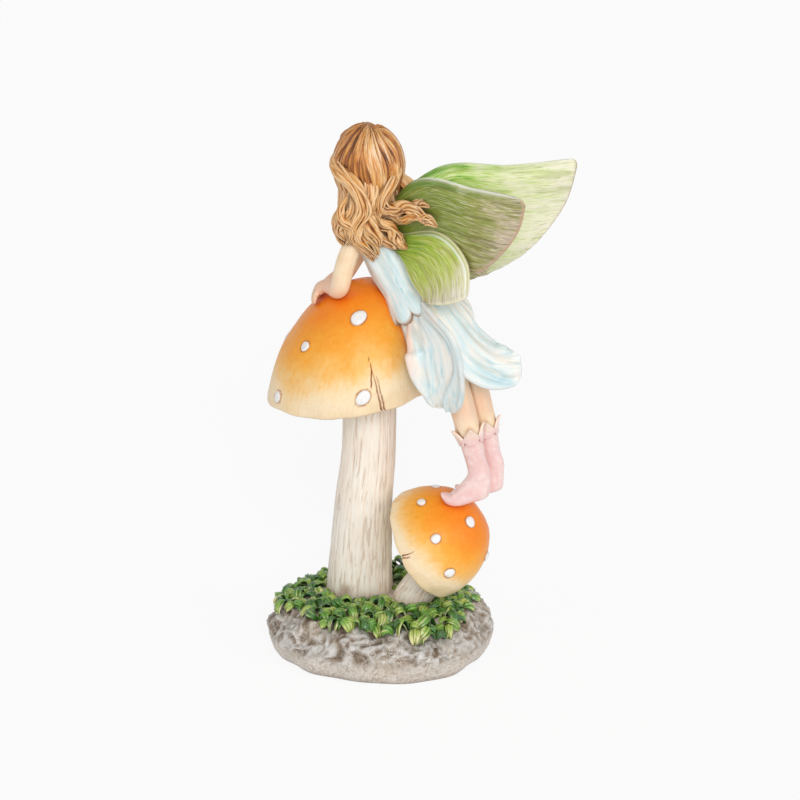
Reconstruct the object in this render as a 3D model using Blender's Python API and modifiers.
"""Garden figurine, cast in one piece: a winged fairy leans on a tall mushroom and stands tiptoe on a low one.

Metres, +Z up. The origin is the middle of the flat underside. +X runs along the base towards the low
mushroom, and -Y is the side from which the fairy's back is seen. The sculpted forms are modelled as overlapping
solids, a remesh flows them together into the one casting, and Booleans then level its underside, raise the
caps' spots and split the caps' rims.
"""
import math

import bmesh
import bpy
import numpy as np
from mathutils import Matrix, Vector

MM = 0.001
GOLDEN_ANGLE = math.radians(137.50776)
UP = Vector((0, 0, 1))

# Casting
SCULPT_GRAIN = 0.75 * MM
FACET_SHARE = 0.0168
SUNK = 5.0 * MM

# Rock base and the moss on it
BASE_HALF_WIDTH = 57.2 * MM
BASE_HALF_DEPTH = 48.5 * MM
BASE_EDGE_HEIGHT = 12.0 * MM
BASE_SHOULDER_HEIGHT = 20.5 * MM
BASE_CROWN_HEIGHT = 29.0 * MM
BASE_FOOT_SHARE = 0.9
ROCK_LUMP = 1.5 * MM
MOSS_TUFTS = 125
MOSS_REACH = 0.85
MOSS_BLADE_LENGTH = 9.8 * MM
MOSS_BLADE_HALF_WIDTH = 4.0 * MM
MOSS_BLADE_HALF_THICKNESS = 1.3 * MM

# Tall mushroom
STEM_FOOT_X, STEM_FOOT_Y = -10.5 * MM, 8.0 * MM
STEM_LEAN = 5.2 * MM
STEM_FOOT_RADIUS = 17.0 * MM
STEM_WAIST_RADIUS = 13.7 * MM
STEM_HEIGHT = 109.0 * MM
CAP_RADIUS = 42.0 * MM
CAP_HEIGHT = 55.9 * MM
CAP_FULLNESS = 1.85
CAP_OVERHANG = -10.0 * MM
CAP_LEAN = 12.4 * MM
CAP_TILT = math.radians(6.0)

# Low mushroom, tipped over towards the viewer's right
LOW_STEM_X, LOW_STEM_Y = 15.5 * MM, -4.0 * MM
LOW_STEM_RADIUS = 11.5 * MM
LOW_STEM_NECK_RADIUS = 8.0 * MM
LOW_STEM_HEIGHT = 29.3 * MM
LOW_CAP_RADIUS = 29.3 * MM
LOW_CAP_HEIGHT = 34.5 * MM
LOW_CAP_FULLNESS = 2.0
LOW_CAP_TILT = math.radians(58.0)
LOW_CAP_TURN = math.radians(-21.0)

# Cracks and spots of both caps
CRACK_WIDTH = 1.3 * MM
CRACK_DEPTH = 1.4 * MM
SPOT_RISE = 0.8 * MM

# Fairy
BODY_TURN = math.radians(155.0)
HEAD_TURN = math.radians(115.0)
HEAD_HALF_WIDTH = 15.8 * MM
HEAD_HALF_DEPTH = 17.4 * MM
HEAD_HALF_HEIGHT = 20.0 * MM
FACE_HALF_WIDTH = 13.4 * MM
FACE_HALF_DEPTH = 15.6 * MM
FACE_HALF_HEIGHT = 17.6 * MM
ARM_RADIUS = 4.9 * MM
WRIST_RADIUS = 3.3 * MM
LEG_RADIUS = 6.2 * MM
ANKLE_RADIUS = 4.3 * MM
BOOT_HALF_WIDTH = 4.4 * MM
WING_THICKNESS = 2.6 * MM
PETAL_THICKNESS = 2.6 * MM
LOCK_HALF_WIDTH = 3.4 * MM
LOCK_HALF_DEPTH = 2.5 * MM
STRANDS_PER_LOCK = 2


def mm(x, y, z):
    return Vector((x, y, z)) * MM


def flat_direction(turn):
    return Vector((math.cos(turn), math.sin(turn), 0))


FORWARD = flat_direction(BODY_TURN)
SIDEWAYS = UP.cross(FORWARD)


def clear_scene():
    for obj in list(bpy.data.objects):
        bpy.data.objects.remove(obj)


def new_collection(name):
    collection = bpy.data.collections.new(name)
    bpy.context.scene.collection.children.link(collection)
    return collection


def add_form(name, parts, guide=True):
    """Joins bmeshes into one mesh object. A guide is not a piece of its own: the casting is made from it."""
    joined = bmesh.new()
    for bm in parts:
        bmesh.ops.recalc_face_normals(bm, faces=bm.faces)
        if bm.calc_volume(signed=True) < 0:
            bmesh.ops.reverse_faces(bm, faces=bm.faces)
        loose = bpy.data.meshes.new(name)
        bm.to_mesh(loose)
        bm.free()
        joined.from_mesh(loose)
        bpy.data.meshes.remove(loose)
    mesh = bpy.data.meshes.new(name)
    joined.to_mesh(mesh)
    joined.free()
    obj = bpy.data.objects.new(name, mesh)
    if guide:
        forms.objects.link(obj)
        obj.hide_render = True
        obj.display_type = "WIRE"
    return obj


def along(stations, share):
    """Catmull-Rom curve through evenly spaced stations, each a row of numbers, at a share of its length."""
    last = len(stations) - 1
    place = min(max(share, 0.0), 1.0) * last
    i = min(int(place), last - 1)
    t = place - i
    p1, p2 = stations[i], stations[i + 1]
    p0 = stations[i - 1] if i else 2 * p1 - p2
    p3 = stations[i + 2] if i + 2 <= last else 2 * p2 - p1
    return 0.5 * (2 * p1 + (p2 - p0) * t + (2 * p0 - 5 * p1 + 4 * p2 - p3) * t**2 + (3 * p1 - 3 * p2 + p3 - p0) * t**3)


def strung(stations, sides, rings, face, blunt=5.0):
    """Closed rod along stations of (point, half width, half depth): a UV sphere whose rings are strung on it.

    face is the way its depth looks, as a vector or as a function of the point. A higher blunt keeps the
    rod thick for longer before it rounds off at its ends.
    """
    rows = [np.array([*point, half_width, half_depth]) for point, half_width, half_depth in stations]
    bm = bmesh.new()
    bmesh.ops.create_uvsphere(bm, u_segments=sides, v_segments=rings, radius=1)
    for vert in bm.verts:
        share = math.acos(max(-1.0, min(1.0, vert.co.z))) / math.pi
        around = math.atan2(vert.co.y, vert.co.x)
        row = along(rows, share)
        centre = Vector(row[:3])
        ahead, behind = along(rows, share + 0.02), along(rows, share - 0.02)
        tangent = Vector(ahead[:3] - behind[:3]).normalized()
        look = face(centre) if callable(face) else face
        depth_way = (look - tangent * look.dot(tangent)).normalized()
        width_way = tangent.cross(depth_way)
        fullness = max(0.0, 1 - abs(2 * share - 1) ** blunt) ** 0.5
        across = width_way * (row[3] * math.cos(around)) + depth_way * (row[4] * math.sin(around))
        vert.co = centre + across * fullness
    return bm


def sheet(surface, thickness, lengthways, crossways):
    """Thin solid on surface(s, w), where s runs along it from 0 to 1 and w across it from 0 to 1."""
    bm = bmesh.new()
    bmesh.ops.create_grid(bm, x_segments=lengthways, y_segments=crossways, size=1)
    for vert in bm.verts:
        vert.co = surface((vert.co.x + 1) / 2, (vert.co.y + 1) / 2)
    bm.normal_update()
    for vert in bm.verts:
        vert.co -= vert.normal * thickness / 2
    bmesh.ops.solidify(bm, geom=bm.faces[:], thickness=-thickness)
    return bm


def turned(profile, steps):
    """Solid of revolution about Z from a profile of (radius, height), top to bottom down its outer side."""
    bm = bmesh.new()
    verts = [bm.verts.new((radius, 0, height)) for radius, height in profile]
    edges = [bm.edges.new(pair) for pair in zip(verts, verts[1:])]
    bmesh.ops.spin(
        bm, geom=verts + edges, cent=(0, 0, 0), axis=(0, 0, 1), angle=math.tau, steps=steps, use_merge=True
    )
    bmesh.ops.remove_doubles(bm, verts=bm.verts, dist=0.01 * MM)
    return bm


# Rock base


def outline_scale(turn):
    """How far the rock's outline stands out in a direction, as a share of its half width or depth."""
    lobes = 0.018 * math.cos(3 * turn + math.pi) + 0.014 * math.cos(5 * turn - 0.6)
    corner = 0.04 * max(0.0, math.cos(turn + 0.85)) ** 3
    return 1 - 0.08 * math.sin(turn) + lobes + corner


def on_base(turn, share):
    """Point in plan at a share of the way from the base's middle to its edge."""
    reach = outline_scale(turn) * share
    return BASE_HALF_WIDTH * math.cos(turn) * reach, BASE_HALF_DEPTH * math.sin(turn) * reach


def ground_height(share):
    """Height of the moss bed over the rock at a share of the way out."""
    return BASE_SHOULDER_HEIGHT + (BASE_CROWN_HEIGHT - BASE_SHOULDER_HEIGHT) * max(0.0, 1 - share**2) ** 0.5


def ground_at(x, y):
    turn = math.atan2(y / BASE_HALF_DEPTH, x / BASE_HALF_WIDTH)
    share = math.hypot(x / BASE_HALF_WIDTH, y / BASE_HALF_DEPTH) / outline_scale(turn)
    return ground_height(min(share, 1.0))


def make_rock():
    """Rock disc, carried on below its underside so that the underside can be cut level."""
    profile = [
        (0.0, BASE_CROWN_HEIGHT),
        (0.3, ground_height(0.3)),
        (0.55, ground_height(0.55)),
        (0.78, ground_height(0.78)),
        (0.93, BASE_SHOULDER_HEIGHT),
        (0.985, (BASE_EDGE_HEIGHT + BASE_SHOULDER_HEIGHT) / 2),
        (1.0, BASE_EDGE_HEIGHT),
        (0.975, 0.5 * BASE_EDGE_HEIGHT),
        (BASE_FOOT_SHARE + 0.02, 0.12 * BASE_EDGE_HEIGHT),
        (BASE_FOOT_SHARE, -SUNK),
        (0.0, -SUNK),
    ]
    bm = turned(profile, 60)
    for vert in bm.verts:
        share = math.hypot(vert.co.x, vert.co.y)
        turn = math.atan2(vert.co.y, vert.co.x)
        x, y = on_base(turn, share)
        height = vert.co.z
        if share > 0.6:
            lump = math.sin(7 * turn + 260 * height) * math.cos(4 * turn - 90 * height)
            lump += 0.6 * math.sin(13 * turn - 200 * height)
            x += ROCK_LUMP * lump * math.cos(turn)
            y += ROCK_LUMP * lump * math.sin(turn)
            height += ROCK_LUMP * lump * max(0.0, min(1.0, height / BASE_EDGE_HEIGHT))
        vert.co = (x, y, height)
    add_form("rock", [bm])


def moss_lift(x, y):
    """How high the moss stands: low along the left and right rims, and piled up behind the stems."""
    outer = max(0.0, abs(x) / BASE_HALF_WIDTH - 0.4)
    piled = max(0.0, y / BASE_HALF_DEPTH) * (abs(x) < 0.5 * BASE_HALF_WIDTH)
    return max(0.35, 1.15 - 1.5 * outer + 0.35 * piled)


def make_moss():
    """Tufts set out on a sunflower spiral, each curling over its own way."""
    stems = [(STEM_FOOT_X, STEM_FOOT_Y, STEM_FOOT_RADIUS), (LOW_STEM_X, LOW_STEM_Y, LOW_STEM_RADIUS)]
    tufts = []
    for i in range(MOSS_TUFTS):
        turn = i * GOLDEN_ANGLE
        share = MOSS_REACH * ((i + 0.5) / MOSS_TUFTS) ** 0.5
        x, y = on_base(turn, share)
        if any(math.hypot(x - sx, y - sy) < 0.9 * radius for sx, sy, radius in stems):
            continue
        foot = Vector((x, y, ground_at(x, y)))
        way = flat_direction(turn + 1.9 * math.sin(2.3 * i))
        length = MOSS_BLADE_LENGTH * (1 + 0.22 * math.sin(5.1 * i))
        tall = 0.36 * (1 + 0.25 * math.sin(3.7 * i)) * moss_lift(x, y) * length
        width, depth = MOSS_BLADE_HALF_WIDTH, MOSS_BLADE_HALF_THICKNESS
        path = [
            (foot - way * 0.3 * length - UP * 0.1 * length, 0.6 * width, depth),
            (foot - way * 0.05 * length + UP * tall, 0.9 * width, depth),
            (foot + way * 0.35 * length + UP * 1.12 * tall, width, depth),
            (foot + way * 0.66 * length + UP * 0.4 * tall, 0.95 * width, 0.8 * depth),
            (foot + way * 0.74 * length - UP * 0.1 * length, 0.7 * width, 0.5 * depth),
        ]
        tufts.append(strung(path, 9, 9, lambda point, foot=foot: point - foot + UP * 0.5 * MM))
    add_form("moss", tufts)


# Mushrooms


class Cap:
    """Domed mushroom cap: its rim plane's centre, its tilt, and the lean of its tip."""

    def __init__(self, centre, radius, height, fullness, tilt, turn, lean, gill_depth):
        self.centre, self.radius, self.height, self.fullness = centre, radius, height, fullness
        self.lean, self.gill_depth = lean, gill_depth
        self.matrix = Matrix.Translation(centre) @ (
            Matrix.Rotation(turn, 4, "Z") @ Matrix.Rotation(tilt, 4, "Y") @ Matrix.Rotation(-turn, 4, "Z")
        )

    def place(self, x, y, z):
        lean = max(z, 0.0) / self.height * self.lean
        return self.matrix @ Vector((x + lean, y, z))

    def reach(self, rise):
        """Radius of the dome at a share of its height."""
        return self.radius * max(0.0, 1 - abs(rise) ** self.fullness) ** 0.5

    def point(self, turn, rise):
        """Point on the dome, turn round its axis and at a share of its height."""
        reach = self.reach(rise)
        return self.place(reach * math.cos(turn), reach * math.sin(turn), rise * self.height)

    def outward(self, turn, rise):
        step = 0.01
        upwards = self.point(turn, rise + step) - self.point(turn, rise - step)
        sideways = self.point(turn + step, rise) - self.point(turn - step, rise)
        return sideways.cross(upwards).normalized()

    def profile(self, rings):
        rises = [math.sin(math.pi / 2 * (1 - i / rings)) for i in range(rings)]
        dome = [(self.reach(rise), self.height * rise) for rise in rises]
        lip = 0.055 * self.radius
        rolled = [
            (self.radius, 0),
            (0.99 * self.radius, -0.6 * lip),
            (0.95 * self.radius, -1.05 * lip),
            (0.88 * self.radius, -0.9 * lip),
        ]
        gills = [(0.6 * self.radius, 0.55 * self.gill_depth), (0.36 * self.radius, self.gill_depth)]
        return dome + rolled + gills + [(0.0, self.gill_depth)]

    def dome(self, rings, steps):
        bm = turned(self.profile(rings), steps)
        for vert in bm.verts:
            vert.co = self.place(*vert.co)
        return bm

    def spot(self, turn, rise, radius):
        """Low button that stands on the dome."""
        centre, outward = self.point(turn, rise), self.outward(turn, rise)
        bm = bmesh.new()
        bmesh.ops.create_uvsphere(bm, u_segments=10, v_segments=4, radius=1)
        bmesh.ops.scale(bm, vec=(radius, radius, 2 * SPOT_RISE), verts=bm.verts)
        bmesh.ops.transform(bm, matrix=outward.to_track_quat("Z", "X").to_matrix().to_4x4(), verts=bm.verts)
        bmesh.ops.translate(bm, vec=centre - outward * SPOT_RISE, verts=bm.verts)
        return bm

    def crack(self, turn, low, high, drift):
        """Wedge that cuts a split into the rim, running up the dome."""
        points = []
        for share in (0.0, 0.35, 0.7, 1.0):
            rise = low + (high - low) * share
            place = self.point(turn + drift * share, rise) + self.outward(turn, rise) * 0.2 * MM
            size = 1.0 - 0.75 * share
            points.append((place, CRACK_WIDTH * size, CRACK_DEPTH * size))
        return strung(points, 6, 6, self.outward(turn, (low + high) / 2))


def stem(foot, top, foot_radius, waist_radius, sides, rings):
    """Stem that flares at the ground and is sunk into the rock and the cap."""
    run = top - foot
    shares = (0.0, 0.1, 0.22, 0.45, 0.65, 0.85, 1.0)
    flare = (1.0, 0.98, 0.75, 0.32, 0.04, 0.0, 0.1)
    sway = (0.0, 0.0, 0.08, 0.4, 0.9, 1.0, 1.0)
    points = []
    for share, wide, side in zip(shares, flare, sway):
        radius = waist_radius + (foot_radius - waist_radius) * wide
        centre = Vector((foot.x + run.x * side, foot.y + run.y * side, foot.z + run.z * share))
        points.append((centre, radius, radius))
    return strung(points, sides, rings, FORWARD, blunt=14)


def make_mushrooms():
    low_foot = Vector((LOW_STEM_X, LOW_STEM_Y, ground_at(LOW_STEM_X, LOW_STEM_Y)))
    tall_foot = Vector((STEM_FOOT_X, STEM_FOOT_Y, ground_at(STEM_FOOT_X, STEM_FOOT_Y)))
    sunk = UP * 12 * MM
    rim = tall_foot + Vector((STEM_LEAN + CAP_OVERHANG, 0, STEM_HEIGHT))
    tall = Cap(rim, CAP_RADIUS, CAP_HEIGHT, CAP_FULLNESS, -CAP_TILT, 0.0, CAP_LEAN, 5 * MM)
    tall_top = tall_foot + Vector((STEM_LEAN, 0, STEM_HEIGHT)) + sunk
    low = Cap(
        low_foot + Vector((7.6 * MM, -2 * MM, LOW_STEM_HEIGHT)),
        LOW_CAP_RADIUS, LOW_CAP_HEIGHT, LOW_CAP_FULLNESS, LOW_CAP_TILT, LOW_CAP_TURN, 0.0, 4 * MM,
    )
    low_top = low.place(0, 0, 0.4 * LOW_CAP_HEIGHT)
    add_form("tall_cap", [tall.dome(16, 64)])
    add_form("tall_stem", [stem(tall_foot - sunk, tall_top, STEM_FOOT_RADIUS, STEM_WAIST_RADIUS, 32, 24)])
    add_form("low_cap", [low.dome(14, 56)])
    add_form("low_stem", [stem(low_foot - sunk, low_top, LOW_STEM_RADIUS, LOW_STEM_NECK_RADIUS, 20, 12)])
    return tall, low


# turn round the axis in degrees, share of the cap's height, radius in millimetres
TALL_SPOTS = [
    (-90, 0.791, 4.0), (-138, 0.561, 2.6), (-151, 0.10, 3.0), (-81, 0.143, 3.8), (-20, 0.55, 3.2),
    (160, 0.45, 3.6), (118, 0.72, 3.0), (95, 0.25, 4.0), (55, 0.55, 3.4), (38, 0.15, 2.8),
]
LOW_SPOTS = [
    (-173, 0.48, 2.3), (-126, 0.959, 2.9), (-122, 0.567, 2.5), (-77, 0.449, 2.8), (20, 0.5, 2.8),
    (75, 0.5, 2.5), (149, 0.561, 2.3), (-13, 0.745, 2.6),
]


def make_spots(tall, low):
    return [
        cap.spot(math.radians(turn), rise, radius * MM)
        for cap, spots in ((tall, TALL_SPOTS), (low, LOW_SPOTS))
        for turn, rise, radius in spots
    ]


def make_cracks(tall, low):
    return [
        tall.crack(math.radians(-67), -0.03, 0.42, math.radians(-13)),
        tall.crack(math.radians(152), -0.03, 0.28, math.radians(6)),
        low.crack(math.radians(175), -0.03, 0.22, math.radians(-2)),
        low.crack(math.radians(-121), -0.03, 0.22, math.radians(2)),
    ]


# Fairy


def make_torso(perch):
    stations = [
        (perch + mm(4, -5, 36), 5.2 * MM, 5.0 * MM),
        (perch + mm(5, -5.5, 29), 8.0 * MM, 6.5 * MM),
        (perch + mm(8, -6.5, 22), 12.0 * MM, 9.0 * MM),
        (perch + mm(14, -9, 11), 11.8 * MM, 10.6 * MM),
        (perch + mm(21.8, -12, -2), 10.8 * MM, 10.6 * MM),
        (perch + mm(30, -15.5, -16), 12.8 * MM, 12.0 * MM),
        (perch + mm(35, -18, -30), 13.6 * MM, 12.5 * MM),
        (perch + mm(37, -19, -44), 13.0 * MM, 11.0 * MM),
    ]
    add_form("torso", [strung(stations, 24, 20, FORWARD)])


def petal(perch, line, outward, cup):
    """Skirt petal on a centre line of (point, half width), bowed round the body and pointed at its tip."""
    centres = [np.array([*(perch + mm(*point)), half_width * MM]) for point, half_width in line]

    def surface(s, w):
        row = along(centres, s)
        tangent = Vector(along(centres, s + 0.02)[:3] - along(centres, s - 0.02)[:3]).normalized()
        depth_way = (outward - tangent * outward.dot(tangent)).normalized()
        across = 2 * w - 1
        side = tangent.cross(depth_way) * across * row[3]
        return Vector(row[:3]) + side - depth_way * (cup * row[3] * across**2)

    return sheet(surface, PETAL_THICKNESS, 14, 10)


def make_skirt(perch):
    near = petal(perch, [
        ((27, -27, 2), 6), ((30.5, -33, -12), 11), ((34.5, -38, -22), 13.5), ((38.5, -40, -34), 12), ((40, -40, -44), 9),
        ((38, -38, -52), 5), ((35.5, -37, -57), 1.5),
    ], -UP.cross(FORWARD) + 0.2 * UP, 0.45)
    back = petal(perch, [
        ((36, -22, 0), 8), ((43.5, -28, -12), 11.5), ((52, -32, -24), 13), ((62, -34, -32), 12.5),
        ((71, -33, -35), 10.5), ((78, -31, -35.5), 7),
    ], Vector((0.55, -0.75, 0.35)), 0.3)
    far_back = petal(perch, [
        ((40, -11, 2), 9), ((51, -5, -10), 11.5), ((53, -2, -22), 12), ((59, 2, -33), 10), ((63, 4, -41), 4),
    ], Vector((0.8, 0.35, 0.4)), 0.4)
    far = petal(perch, [
        ((25, -2, -3), 8), ((30, 5, -18), 12), ((34, 9, -34), 12), ((37, 8, -48), 8), ((38, 5, -56), 2),
    ], Vector((0.1, 1.0, 0.2)), 0.55)
    front = petal(perch, [
        ((14, -7, -8), 7), ((20, -9, -22), 11), ((24, -12, -37), 12), ((28, -14, -50), 8), ((30, -15, -56), 2),
    ], FORWARD + 0.2 * UP, 0.5)
    add_form("skirt", [near, back, far_back, far, front])


def make_waist_scallops(perch):
    """Small turned-down leaves round the bottom of the bodice."""
    waist = perch + mm(23, -12.5, -4)
    axis = (mm(14, -9, 11) - mm(30, -15.5, -16)).normalized()
    side = axis.cross(FORWARD).normalized()
    front = side.cross(axis)
    scallops = []
    for turn in range(0, 360, 40):
        out = front * math.cos(math.radians(turn)) + side * math.sin(math.radians(turn))
        top = waist + out * 10.4 * MM + axis * 5 * MM
        line = [
            (top, 3.6 * MM, 1.6 * MM),
            (top + out * 1.2 * MM - axis * 4 * MM, 4.8 * MM, 1.8 * MM),
            (top + out * 1.8 * MM - axis * 8 * MM, 2.6 * MM, 1.4 * MM),
        ]
        scallops.append(strung(line, 10, 8, out))
    add_form("waist_scallops", scallops)


def make_legs(perch, foothold):
    """Bare legs from the skirt into the boots, whose toes rest on the low mushroom's cap."""
    legs, boots = [], []
    for hip, ankle, bow in (
        (perch + mm(41.8, -25, -29.4), foothold + mm(13.4, 1.9, 18.0), 0.2),
        (perch + mm(50.8, -15, -29.4), foothold + mm(20.7, 12.9, 18.0), 0.3),
    ):
        knee = hip.lerp(ankle, 0.46) + mm(bow, 0, 0)
        cuff = hip.lerp(ankle, 0.67) + mm(bow, 0, 0)
        legs.append(strung([
            (hip, 1.1 * LEG_RADIUS, 1.1 * LEG_RADIUS),
            (knee, LEG_RADIUS, LEG_RADIUS),
            (cuff, 0.94 * LEG_RADIUS, 0.94 * LEG_RADIUS),
            (cuff.lerp(ankle, 0.3), 0.8 * LEG_RADIUS, 0.8 * LEG_RADIUS),
        ], 16, 12, FORWARD))
        boots += boot(cuff, ankle)
    add_form("legs", legs)
    add_form("boots", boots)


def boot(cuff, ankle):
    toe_way = flat_direction(BODY_TURN + math.radians(22))
    shaft = strung([
        (cuff + (cuff - ankle) * 0.02, 1.02 * LEG_RADIUS, 1.02 * LEG_RADIUS),
        (cuff.lerp(ankle, 0.4), 0.9 * LEG_RADIUS, 0.92 * LEG_RADIUS),
        (cuff.lerp(ankle, 0.75), 1.02 * ANKLE_RADIUS, 1.1 * ANKLE_RADIUS),
        (ankle, ANKLE_RADIUS, 1.2 * ANKLE_RADIUS),
        (ankle + mm(1.5, 0, -5), ANKLE_RADIUS, 1.1 * ANKLE_RADIUS),
    ], 16, 12, FORWARD)
    foot = strung([
        (ankle - toe_way * 4.5 * MM - UP * 4.5 * MM, 0.9 * BOOT_HALF_WIDTH, 4.2 * MM),
        (ankle + toe_way * 1.5 * MM - UP * 8.5 * MM, BOOT_HALF_WIDTH, 5.0 * MM),
        (ankle + toe_way * 9 * MM - UP * 13.6 * MM, 1.12 * BOOT_HALF_WIDTH, 4.4 * MM),
        (ankle + toe_way * 14.5 * MM - UP * 14.8 * MM, 0.95 * BOOT_HALF_WIDTH, 3.3 * MM),
        (ankle + toe_way * 18.5 * MM - UP * 12 * MM, 0.5 * BOOT_HALF_WIDTH, 2.0 * MM),
    ], 14, 12, UP)
    down = (ankle - cuff).normalized()
    points = []
    for i in range(5):
        out = Matrix.Rotation(i * math.tau / 5 + 0.5, 3, down) @ FORWARD
        out = (out - down * out.dot(down)).normalized()
        points.append(strung([
            (cuff + out * 0.78 * LEG_RADIUS + down * 4 * MM, 2.6 * MM, 1.1 * MM),
            (cuff + out * 0.98 * LEG_RADIUS, 2.9 * MM, 1.2 * MM),
            (cuff + out * 1.18 * LEG_RADIUS - down * 3.2 * MM, 0.9 * MM, 0.8 * MM),
        ], 8, 6, out))
    return [shaft, foot] + points


def make_arms(perch):
    """Both arms rest on the tall cap, the near one draped over its left slope."""
    near = [mm(-2, -16, 28), mm(-7.5, -16, 14), mm(-11.2, -15, -0.9), mm(-13.6, -10, -1), mm(-16.4, -6, -1.4)]
    far = [mm(8.5, 6.5, 28), mm(4.5, 7, 14), mm(0, 6, 1), mm(-6, 6.5, -1.5), mm(-13, 7, -3.5)]
    limbs = []
    for joints in (near, far):
        shoulder, upper, elbow, forearm, wrist = (perch + joint for joint in joints)
        limbs.append(strung([
            (shoulder, 1.15 * ARM_RADIUS, 1.15 * ARM_RADIUS),
            (upper, ARM_RADIUS, ARM_RADIUS),
            (elbow, 0.95 * ARM_RADIUS, 0.95 * ARM_RADIUS),
        ], 16, 12, FORWARD))
        limbs.append(strung([
            (elbow, 0.95 * ARM_RADIUS, 0.95 * ARM_RADIUS),
            (forearm, 0.85 * ARM_RADIUS, 0.85 * ARM_RADIUS),
            (wrist, WRIST_RADIUS, WRIST_RADIUS),
        ], 14, 10, UP))
    limbs += hand(perch, mm(-16.4, -6, -1.4), mm(-21, -2.5, -4.6), mm(-24.6, -3.4, -12))
    limbs += hand(perch, mm(-13, 7, -3.5), mm(-18.5, 7, -6.5), mm(-24.5, 6, -13.5))
    add_form("arms", limbs)


def hand(perch, wrist, knuckles, tips):
    reach = (tips - knuckles).normalized()
    spread = reach.cross(UP).normalized()
    palm_way = spread.cross(reach)
    parts = [strung([
        (perch + wrist, WRIST_RADIUS, 2.8 * MM),
        (perch + wrist.lerp(knuckles, 0.6), 4.2 * MM, 2.7 * MM),
        (perch + knuckles + reach * 1.5 * MM, 4.2 * MM, 2.3 * MM),
    ], 12, 8, palm_way)]
    for i in range(4):
        offset = spread * (i - 1.5) * 2.15 * MM
        length = (0.86, 1.0, 0.96, 0.8)[i]
        parts.append(strung([
            (perch + knuckles + offset - reach * 2 * MM, 1.3 * MM, 1.3 * MM),
            (perch + knuckles.lerp(tips, 0.5 * length) + offset + palm_way * 0.5 * MM, 1.25 * MM, 1.25 * MM),
            (perch + knuckles.lerp(tips, length) + offset * 1.1 - palm_way * 0.4 * MM, 0.9 * MM, 0.9 * MM),
        ], 8, 7, palm_way))
    return parts


class Head:
    """Head frame: centre, the way that the face looks, and its two other axes."""

    def __init__(self, centre):
        self.centre = centre
        self.ahead = flat_direction(HEAD_TURN)
        self.aside = UP.cross(self.ahead)

    def place(self, aside, ahead, rise):
        return self.centre + self.aside * aside + self.ahead * ahead + UP * rise

    def on_hair(self, turn, drop, lift=1.0):
        """Point on the hair at a turn from straight ahead and a drop from the crown, both in degrees."""
        turn, drop = math.radians(turn), math.radians(drop)
        return self.place(
            HEAD_HALF_WIDTH * math.sin(turn) * math.sin(drop) * lift,
            HEAD_HALF_DEPTH * math.cos(turn) * math.sin(drop) * lift,
            HEAD_HALF_HEIGHT * math.cos(drop) * lift,
        )


def bump(aside, rise, at_aside, at_rise, half_width, half_height):
    return math.exp(-(((aside - at_aside) / half_width) ** 2) - ((rise - at_rise) / half_height) ** 2)


def face_relief(aside, rise):
    """How far the face stands out from its egg shape, in millimetres, at places in millimetres."""
    mirrored = abs(aside)
    nose = 1.1 * bump(aside, rise, 0, 0.5, 1.3, 3.2) + 2.0 * bump(aside, rise, 0, -2.6, 1.5, 1.5)
    sockets = -1.2 * bump(mirrored, rise, 4.6, 1.4, 2.9, 1.9)
    lids = 0.75 * bump(mirrored, rise, 4.6, 1.0, 1.9, 1.1)
    cheeks = 0.7 * bump(mirrored, rise, 6.3, -3.6, 3.0, 2.8)
    lips = 0.75 * bump(aside, rise, 0, -6.1, 2.2, 0.6) + 0.75 * bump(aside, rise, 0, -7.5, 1.8, 0.7)
    parting = -0.4 * bump(aside, rise, 0, -6.8, 2.2, 0.3)
    chin = 1.3 * bump(aside, rise, 0, -11.2, 2.8, 2.2)
    return nose + sockets + lids + cheeks + lips + parting + chin


def make_head(head):
    bm = bmesh.new()
    bmesh.ops.create_uvsphere(bm, u_segments=48, v_segments=36, radius=1)
    for vert in bm.verts:
        aside, ahead, rise = vert.co
        jaw = 1 - 0.24 * max(0.0, -rise) ** 1.5
        relief = face_relief(aside * FACE_HALF_WIDTH * jaw / MM, rise * FACE_HALF_HEIGHT / MM) * MM * max(0.0, ahead)
        vert.co = head.place(
            aside * FACE_HALF_WIDTH * jaw,
            ahead * FACE_HALF_DEPTH * (0.5 + 0.5 * jaw) + relief,
            rise * FACE_HALF_HEIGHT - 0.8 * MM,
        )
    add_form("face", [bm])


def make_hair_crown(head):
    """Hair close to the skull, drawn in over the face and dented along the parting."""
    bm = bmesh.new()
    bmesh.ops.create_uvsphere(bm, u_segments=48, v_segments=32, radius=1)
    for vert in bm.verts:
        aside, ahead, rise = vert.co
        opening = max(0.0, min(1.0, (ahead - 0.35) / 0.25)) * max(0.0, min(1.0, (0.62 - rise) / 0.3))
        parting = 0.06 * math.exp(-((aside / 0.12) ** 2)) * max(0.0, rise)
        ridges = 0.02 * math.sin(9 * math.atan2(aside, ahead)) * (1 - rise**2)
        scale = 1 - 0.34 * opening - parting + ridges
        vert.co = head.place(
            aside * HEAD_HALF_WIDTH * scale, ahead * HEAD_HALF_DEPTH * scale, rise * HEAD_HALF_HEIGHT * scale
        )
    add_form("hair_crown", [bm])


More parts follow.
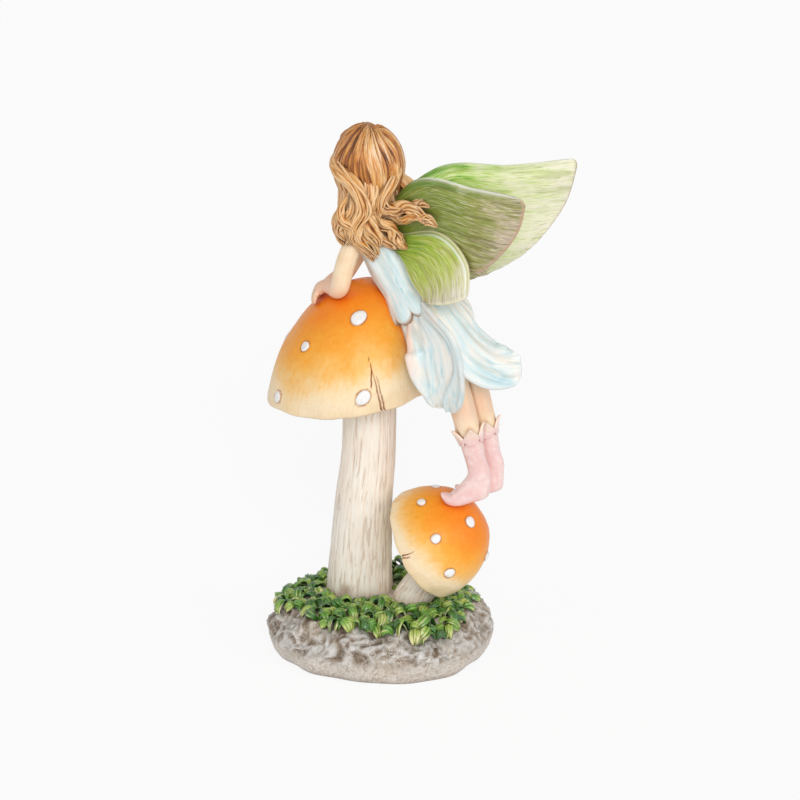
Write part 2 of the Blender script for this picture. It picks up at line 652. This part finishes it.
# Where each lock leaves the head (turn and drop in degrees), its width, and its free run from the perch
LOCKS = [
    (72, 92, 0.9, [(-9, -8, 47), (-8.5, -11, 41), (-11.5, -14, 34), (-11, -16, 28), (-9, -19, 23)]),
    (100, 88, 1.0, [(-7.5, -14, 49), (-5, -17, 43), (-9, -20, 36), (-10, -21, 31), (-7, -21, 26)]),
    (125, 85, 1.15, [(-5, -20, 50), (-2, -21, 43), (-5, -22, 36), (-5, -22, 30), (0, -21, 23), (6, -20, 15)]),
    (145, 85, 1.1, [(0, -22, 50), (2, -22, 43), (0, -22, 36), (1, -22, 30), (5, -20, 24), (8, -19, 18)]),
    (163, 85, 1.1, [(4, -22, 50), (6, -21, 42), (4, -20, 35), (8, -19, 28), (14, -19, 24), (18, -19, 21)]),
    (180, 85, 1.0, [(8, -20, 50), (10, -19, 43), (9, -18, 36), (13, -18, 30), (18, -19, 27), (21, -21, 21)]),
    (195, 85, 1.1, [(11, -18, 50), (12, -17, 43), (15, -18, 39), (21, -21, 37), (26, -25, 40), (32, -30, 39), (37, -34, 37)]),
    (210, 85, 0.9, [(13, -16, 51), (14, -15, 45), (18, -17, 41), (24, -21, 43), (28, -25, 46), (33, -29, 45)]),
    (232, 88, 1.2, [(19, -10, 53), (23, -6, 49), (25, -3, 44), (24, -3, 37), (21, -2, 29)]),
    (255, 90, 1.1, [(18, 0, 50), (18, 4, 42), (17, 6, 34), (17, 4, 26), (16, 2, 18)]),
    (285, 92, 1.0, [(13, 9, 48), (13, 11, 40), (14, 12, 33), (12, 11, 26), (12, 9, 19)]),
    (305, 96, 0.8, [(7, 12, 46), (8, 13, 39), (10, 13, 32), (9, 12, 26)]),
    (55, 94, 0.75, [(-9, -2, 46), (-9, -3, 40), (-9, -6, 34), (-10, -9, 28), (-7, -11, 24)]),
]


def make_locks(head, perch):
    """Each lock parts into strands that lie side by side and run out at different lengths."""
    core = head.centre - UP * 12 * MM
    strands = []
    for turn, drop, width, run in LOCKS:
        points = [head.on_hair(turn, 28, 0.97), head.on_hair(turn, 58, 0.99), head.on_hair(turn, drop, 0.92)]
        points += [perch + mm(*point) for point in run]
        spacing = 2 * LOCK_HALF_WIDTH * width / STRANDS_PER_LOCK
        for k in range(STRANDS_PER_LOCK):
            shift = (k - (STRANDS_PER_LOCK - 1) / 2) * spacing
            stations = []
            for i, point in enumerate(points):
                run_way = points[min(i + 1, len(points) - 1)] - points[max(i - 1, 0)]
                side = run_way.cross(point - core).normalized()
                taper = 1.0 - 0.6 * max(0.0, i - len(points) + 3) / 2
                spread = (0.4 if i == 0 else 1.0) * taper
                lift = 0.5 * MM * math.sin(2.1 * i + 2.4 * k)
                centre = point + side * shift * spread + (point - core).normalized() * lift
                stations.append((centre, 0.56 * spacing * taper, LOCK_HALF_DEPTH * taper))
            last_point, width_there, depth_there = stations[-1]
            stations[-1] = (last_point.lerp(stations[-2][0], 0.35 * k), width_there, depth_there)
            strands.append(strung(stations, 10, 22, lambda point: point - core))
    add_form("locks", strands)


# Guide points of each wing, from the perch in millimetres: rows run from the upper edge to the lower one
WINGS = [
    [
        [(12, -10, 40), (29, -21, 57), (55, -34, 56), (77, -46, 55)],
        [(12, -12, 38), (31, -26, 53), (55, -39, 50), (78, -49, 50)],
        [(13, -12, 34), (33, -25, 39), (54, -37, 36), (75, -48, 38)],
        [(14, -12, 29), (36, -24, 28), (52, -36, 23), (67, -46, 26)],
        [(15, -11, 25), (37, -22, 23), (48, -32, 18), (56, -41, 14)],
    ],
    [
        [(13, -4, 42), (41, 2, 57), (73, 8, 55), (106, 14, 58)],
        [(13, -6, 40), (41, -3, 53), (73, 2, 51.5), (105.5, 10, 52)],
        [(14, -6, 36), (43, 0, 38), (73, 5, 33), (99.5, 12, 33)],
        [(15, -6, 31), (44, 1, 24), (68, 6, 14), (83, 11, 12)],
        [(16, -5, 27), (39, 2, 17), (50, 6, 4), (59, 10, -3.5)],
    ],
    [
        [(16, -12, 27), (38, -26, 32), (51, -38, 21), (52, -46, 5)],
        [(15, -13, 25), (35, -29, 28), (46, -41, 18), (47, -49, 4)],
        [(15, -13, 23), (30, -29, 21), (39, -41, 13), (41, -48, 2)],
        [(15, -13, 21), (25, -26, 17), (32, -37, 7), (36, -45, 1)],
        [(16, -12, 19), (20, -22, 16), (26, -31, 6), (32, -38, 0)],
    ],
    [
        [(16, -5, 27), (39, 2, 21), (56, 7, 13), (66, 11, 5)],
        [(16, -6, 23), (37, -1, 16), (53, 4, 7), (62, 9, 1)],
        [(17, -6, 18), (34, 1, 9), (45, 5, 1), (52, 8, -4)],
    ],
]


def make_wings(perch):
    wings = []
    for rows in WINGS:
        guides = [[np.array([*(perch + mm(*point))]) for point in row] for row in rows]

        def surface(s, w, guides=guides):
            return Vector(along([along(guide, s) for guide in guides], w))

        wings.append(sheet(surface, WING_THICKNESS, 20, 14))
    add_form("wings", wings)


def make_wing_root(perch):
    """Thickening between the shoulder blades that all four wings grow from."""
    add_form("wing_root", [strung([
        (perch + mm(11, -8, 42), 3.5 * MM, 3.0 * MM),
        (perch + mm(13, -9, 32), 6.0 * MM, 5.0 * MM),
        (perch + mm(16, -10, 22), 5.5 * MM, 4.5 * MM),
    ], 14, 10, -FORWARD)])


def level_cutter():
    """Block that takes away all that lies below the underside."""
    bm = bmesh.new()
    bmesh.ops.create_cube(bm, size=1)
    bmesh.ops.scale(bm, vec=(4 * BASE_HALF_WIDTH, 4 * BASE_HALF_DEPTH, 4 * SUNK), verts=bm.verts)
    bmesh.ops.translate(bm, vec=(0, 0, -2 * SUNK), verts=bm.verts)
    return bm


def cast(name, spots, cracks):
    """The casting: all forms flowed together, levelled underneath, with its spots raised and its rims split."""
    joined = bmesh.new()
    for form in forms.objects:
        joined.from_mesh(form.data)
    mesh = bpy.data.meshes.new(name)
    joined.to_mesh(mesh)
    joined.free()
    casting = bpy.data.objects.new(name, mesh)
    figurine.objects.link(casting)
    flow = casting.modifiers.new("flow_together", "REMESH")
    flow.mode = "VOXEL"
    flow.voxel_size = SCULPT_GRAIN
    facets = casting.modifiers.new("facets", "DECIMATE")
    facets.ratio = FACET_SHARE
    steps = (
        ("level_underside", "DIFFERENCE", [level_cutter()]),
        ("raise_spots", "UNION", spots),
        ("split_rims", "DIFFERENCE", cracks),
    )
    for label, operation, shapes in steps:
        other = add_form(label, shapes)
        forms.objects.unlink(other)
        cutters.objects.link(other)
        boolean = casting.modifiers.new(label, "BOOLEAN")
        boolean.operation = operation
        boolean.object = other
        boolean.solver = "EXACT"
    return casting


def painted_resin():
    material = bpy.data.materials.new("painted_resin")
    material.use_nodes = True
    shader = material.node_tree.nodes["Principled BSDF"]
    shader.inputs["Base Color"].default_value = (0.86, 0.55, 0.30, 1)
    shader.inputs["Roughness"].default_value = 0.45
    shader.inputs["Metallic"].default_value = 0.0
    return material


clear_scene()
figurine = new_collection("fairy_figurine")
forms = new_collection("forms")
cutters = new_collection("cutters")
make_rock()
make_moss()
tall_cap, low_cap = make_mushrooms()
perch_point = tall_cap.place(0, 0, CAP_HEIGHT)
foothold_point = low_cap.point(math.radians(-164), 0.832)
make_torso(perch_point)
make_skirt(perch_point)
make_waist_scallops(perch_point)
make_legs(perch_point, foothold_point)
make_arms(perch_point)
fairy_head = Head(perch_point + mm(3.3, -4.0, 60.6))
make_head(fairy_head)
make_hair_crown(fairy_head)
make_locks(fairy_head, perch_point)
make_wings(perch_point)
make_wing_root(perch_point)
casting = cast("fairy_figurine", make_spots(tall_cap, low_cap), make_cracks(tall_cap, low_cap))
casting.data.materials.append(painted_resin())
